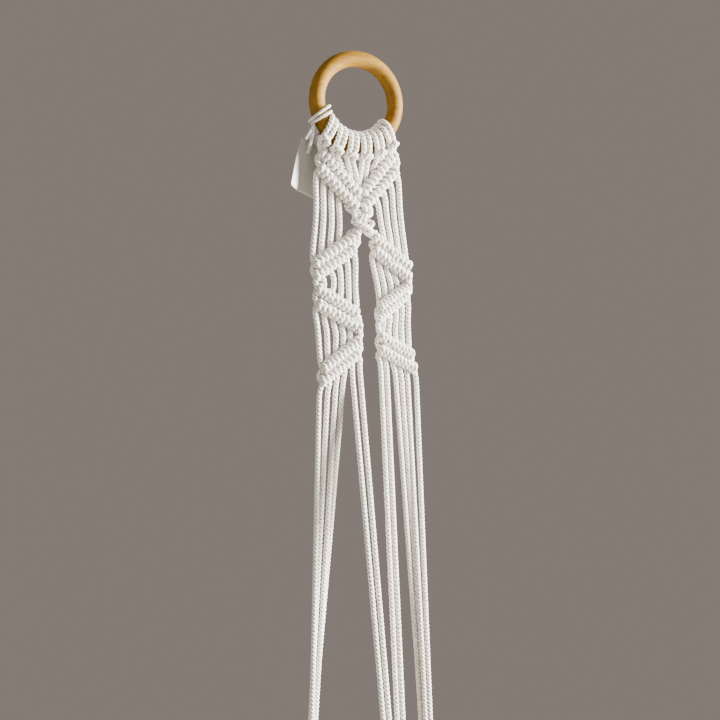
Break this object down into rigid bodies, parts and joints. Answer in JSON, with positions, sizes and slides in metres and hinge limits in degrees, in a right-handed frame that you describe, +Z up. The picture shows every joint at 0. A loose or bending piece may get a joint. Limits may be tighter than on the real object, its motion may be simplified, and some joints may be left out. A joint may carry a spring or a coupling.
{
  "type": "hanging macrame planter",
  "caption": "Knotted cotton cord planter that hangs from a wooden ring: flat knotted panel, long legs, a net for a pot and a fringe below.",
  "frame": {"origin": "inside top of the wooden ring, where a hook bears", "axes": "+Z up, ring and knotted panel in the XZ plane, front faces -Y"},
  "size_m": [0.1302, 0.1328, 1.097],
  "materials": {
    "wood": "satin lacquered honey wood",
    "cotton_cord": "three-strand twisted natural cotton",
    "twine": "thin soft cotton twine",
    "tag_paper": "matt uncoated paper card"
  },
  "bodies": {
    "ring": {"wooden_ring": "wood", "tag_string_wraps": "twine", "mounting_knot_3": "cotton_cord", "mounting_knot_1": "cotton_cord", "mounting_knot_6": "cotton_cord", "mounting_knot_4": "cotton_cord", "mounting_knot_2": "cotton_cord", "mounting_knot_5": "cotton_cord"},
    "panel": {"neck_cords_left": "cotton_cord", "right_inner_floats": "cotton_cord", "left_outer_floats": "cotton_cord", "right_band_middle": "cotton_cord", "neck_cords_right": "cotton_cord", "left_band_top": "cotton_cord", "left_band_middle": "cotton_cord", "left_inner_floats": "cotton_cord", "right_upper_cords": "cotton_cord", "centre_square_knot": "cotton_cord", "right_outer_floats": "cotton_cord", "chevron_upper_right": "cotton_cord", "chevron_lower_left": "cotton_cord", "right_band_bottom": "cotton_cord", "tag_string_drop": "twine", "chevron_upper_left": "cotton_cord", "left_band_bottom": "cotton_cord", "chevron_lower_right": "cotton_cord", "right_band_top": "cotton_cord", "left_upper_cords": "cotton_cord"},
    "basket": {"net_knot_2": "cotton_cord", "bottom_cords_2": "cotton_cord", "left_leg_cords": "cotton_cord", "front_net_cords": "cotton_cord", "right_leg_cords": "cotton_cord", "right_rim_knot": "cotton_cord", "bottom_cords_3": "cotton_cord", "left_net_cords": "cotton_cord", "right_net_cords": "cotton_cord", "left_rim_knot": "cotton_cord", "gathering_wrap": "cotton_cord", "front_rim_knot": "cotton_cord", "cord_bundle": "cotton_cord", "net_knot_3": "cotton_cord", "bottom_cords_1": "cotton_cord", "net_knot_1": "cotton_cord", "front_leg_cords": "cotton_cord"},
    "tassel": {"fringe_cord_7": "cotton_cord", "fringe_cord_2": "cotton_cord", "fringe_cord_9": "cotton_cord", "fringe_cord_4": "cotton_cord", "fringe_cord_1": "cotton_cord", "fringe_cord_11": "cotton_cord", "fringe_cord_8": "cotton_cord", "fringe_cord_10": "cotton_cord", "fringe_cord_6": "cotton_cord", "fringe_cord_5": "cotton_cord", "fringe_cord_12": "cotton_cord", "fringe_cord_3": "cotton_cord"},
    "tag": {"swing_tag": "tag_paper"}
  },
  "joints": [
    {"name": "panel_swing", "type": "hinge", "parent": "ring", "child": "panel", "pos_m": [0, 0, -0.058], "axis": [1, 0, 0], "range_deg": [-25, 25]},
    {"name": "basket_swing", "type": "hinge", "parent": "panel", "child": "basket", "pos_m": [0, 0, -0.212], "axis": [1, 0, 0], "range_deg": [-15, 15]},
    {"name": "tassel_swing", "type": "hinge", "parent": "basket", "child": "tassel", "pos_m": [0, 0, -0.872], "axis": [1, 0, 0], "range_deg": [-30, 30]},
    {"name": "tag_swing", "type": "hinge", "parent": "panel", "child": "tag", "pos_m": [-0.0344, 0.0083, -0.059], "axis": [0, 1, 0], "range_deg": [-3, 30]}
  ]
}
